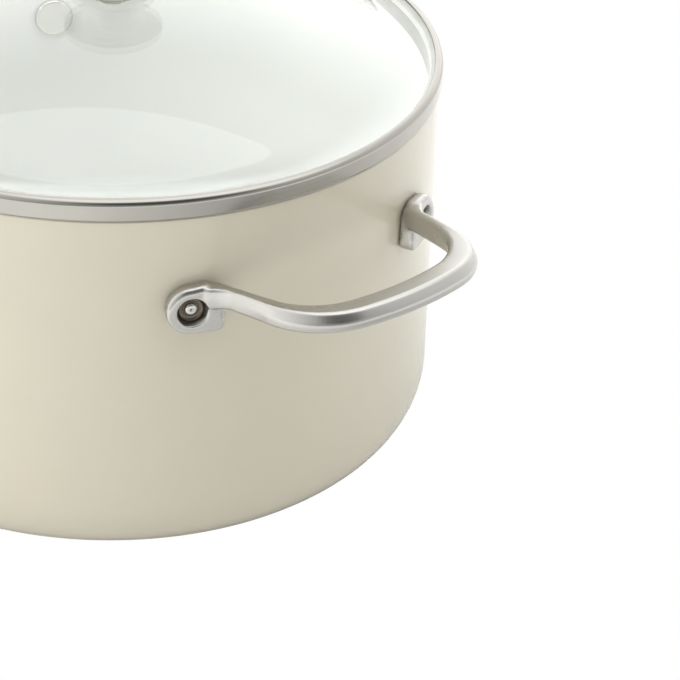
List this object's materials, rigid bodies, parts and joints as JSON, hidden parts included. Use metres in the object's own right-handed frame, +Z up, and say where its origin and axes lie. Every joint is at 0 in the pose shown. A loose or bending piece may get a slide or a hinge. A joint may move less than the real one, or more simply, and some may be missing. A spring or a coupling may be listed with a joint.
{
  "type": "cooking pot",
  "caption": "Straight-sided cream cooking pot with loop side handles riveted on and a steel-rimmed domed glass lid with knob and steam vent that lifts off.",
  "frame": {"origin": "centre of the pot's base, on the surface that it stands on", "axes": "+Z up along the pot's axis, +X through the middle of the right handle"},
  "size_m": [0.3448, 0.2474, 0.2077],
  "materials": {
    "enamel": "gloss cream outside, light ceramic coating inside",
    "plate_steel": "concentric brushed",
    "handle_steel": "fine satin",
    "rivet_steel": "satin",
    "glass": "clear, tempered",
    "rim_steel": "polished",
    "silicone": "translucent light grey",
    "knob_steel": "fine satin"
  },
  "bodies": {
    "pot": {"pot_body": "enamel", "induction_plate": "plate_steel", "handle_right": "handle_steel", "handle_left": "handle_steel", "rivet_right_front": "rivet_steel", "rivet_right_back": "rivet_steel", "rivet_left_front": "rivet_steel", "rivet_left_back": "rivet_steel"},
    "lid": {"lid_glass": "glass", "lid_rim": "rim_steel", "rim_seal": "silicone", "vent_eyelet": "rim_steel", "vent_seal": "silicone", "vent_ring": "rim_steel", "lid_knob": "knob_steel", "knob_base_ring": "knob_steel", "knob_upper_gasket": "silicone", "knob_lower_gasket": "silicone", "knob_washer": "rim_steel", "knob_screw": "rim_steel"}
  },
  "joints": [
    {"name": "lid_lift", "type": "slide", "parent": "pot", "child": "lid", "axis": [0, 0, 1], "range_m": [0, 0.12]}
  ]
}
